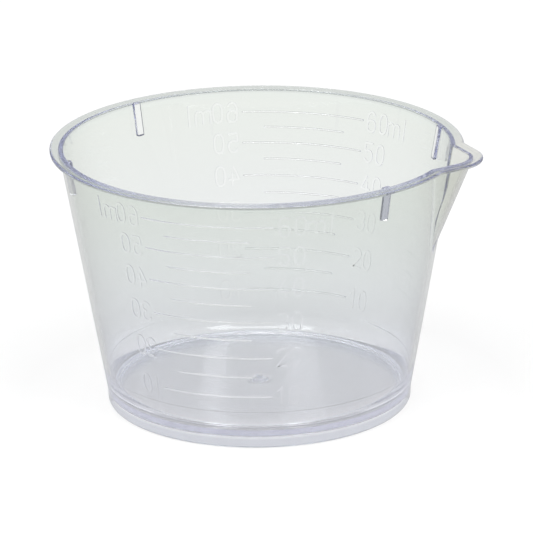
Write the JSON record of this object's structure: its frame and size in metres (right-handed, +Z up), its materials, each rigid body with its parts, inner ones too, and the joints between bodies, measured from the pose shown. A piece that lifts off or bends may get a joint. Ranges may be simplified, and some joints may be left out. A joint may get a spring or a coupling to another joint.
{
  "type": "medicine cup",
  "caption": "Clear tapered measuring cup for liquid medicine, with a pouring spout, a flange round the rim, stacking ribs inside and raised scale lines.",
  "frame": {"origin": "middle of the cup's length and width on the ground, on the plane of the foot ring's underside", "axes": "+X the way the spout points, +Y to the left of someone looking along +X, +Z up out of the mouth"},
  "size_m": [0.062, 0.0588, 0.0378],
  "materials": {
    "clear_wall": "clear, polished",
    "clear_edge": "clear, polished, violet grey where it is thick",
    "clear_floor": "clear, polished",
    "raised_line": "clear, raised by moulding"
  },
  "bodies": {
    "root": {"cup_wall": "clear_wall", "pouring_spout": "clear_wall", "rim_flange": "clear_edge", "spout_lip": "clear_edge", "floor_disc": "clear_floor", "foot_ring": "clear_edge", "gate_nub": "clear_floor", "stacking_rib_front_left": "clear_edge", "stacking_rib_back_left": "clear_edge", "stacking_rib_back_right": "clear_edge", "stacking_rib_front_right": "clear_edge", "line_10ml_right": "raised_line", "line_15ml_right": "raised_line", "line_20ml_right": "raised_line", "line_25ml_right": "raised_line", "line_30ml_right": "raised_line", "line_35ml_right": "raised_line", "line_40ml_right": "raised_line", "line_45ml_right": "raised_line", "line_50ml_right": "raised_line", "line_55ml_right": "raised_line", "line_60ml_right": "raised_line", "line_10ml_left": "raised_line", "line_15ml_left": "raised_line", "line_20ml_left": "raised_line", "line_25ml_left": "raised_line", "line_30ml_left": "raised_line", "line_35ml_left": "raised_line", "line_40ml_left": "raised_line", "line_45ml_left": "raised_line", "line_50ml_left": "raised_line", "line_55ml_left": "raised_line", "line_60ml_left": "raised_line"}
  },
  "joints": []
}
